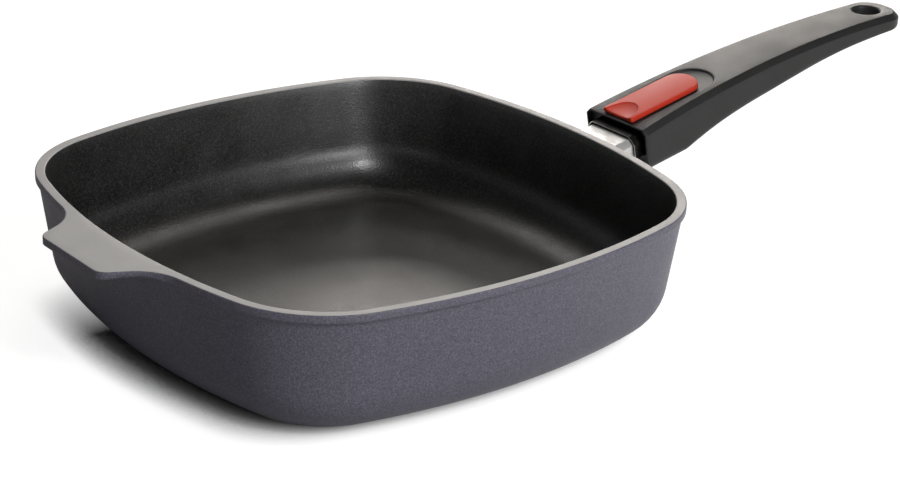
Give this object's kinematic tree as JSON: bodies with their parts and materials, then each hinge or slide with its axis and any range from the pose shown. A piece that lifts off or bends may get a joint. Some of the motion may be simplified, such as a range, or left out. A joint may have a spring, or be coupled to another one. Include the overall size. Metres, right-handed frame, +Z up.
{
  "type": "square frying pan",
  "caption": "Rounded-square cast frying pan with a bare rim, a holding lip, and a detachable bevelled handle released by a red slider.",
  "frame": {"origin": "centre of the flat underside that stands on the hob", "axes": "+X along the handle, away from the pan; +Z up; the lip is at -X"},
  "size_m": [0.5052, 0.26, 0.0867],
  "materials": {
    "coated_casting": "cast aluminium, satin slate coating outside, black non-stick inside, bare machined rim",
    "bright_steel": "polished folded steel",
    "spring_steel": "plain spring steel",
    "handle_plastic": "fine matte moulded surface",
    "red_plastic": "satin moulded surface",
    "carriage_plastic": "plain moulded surface"
  },
  "bodies": {
    "pan": {"pan_body": "coated_casting", "handle_bracket": "bright_steel", "bracket_screw_left": "bright_steel", "bracket_screw_right": "bright_steel"},
    "handle": {"handle_grip": "handle_plastic", "socket_sleeve": "bright_steel", "sleeve_screw": "bright_steel", "sleeve_nut": "bright_steel", "catch_spring": "spring_steel", "catch_rivet_front": "spring_steel", "catch_rivet_rear": "spring_steel", "return_spring": "spring_steel", "spring_guide_pin": "bright_steel"},
    "slider": {"slider_button": "red_plastic", "slider_carriage": "carriage_plastic"}
  },
  "joints": [
    {"name": "handle_pull_off", "type": "slide", "parent": "pan", "child": "handle", "axis": [0.9799, 0, 0.1994], "range_m": [0, 0.06], "deforming": ["catch_spring"]},
    {"name": "slider_draw", "type": "slide", "parent": "handle", "child": "slider", "axis": [0.9799, 0, 0.1994], "range_m": [0, 0.01], "stiffness_N_per_m": 400, "springref_m": -0.008, "deforming": ["return_spring", "catch_spring"]}
  ]
}
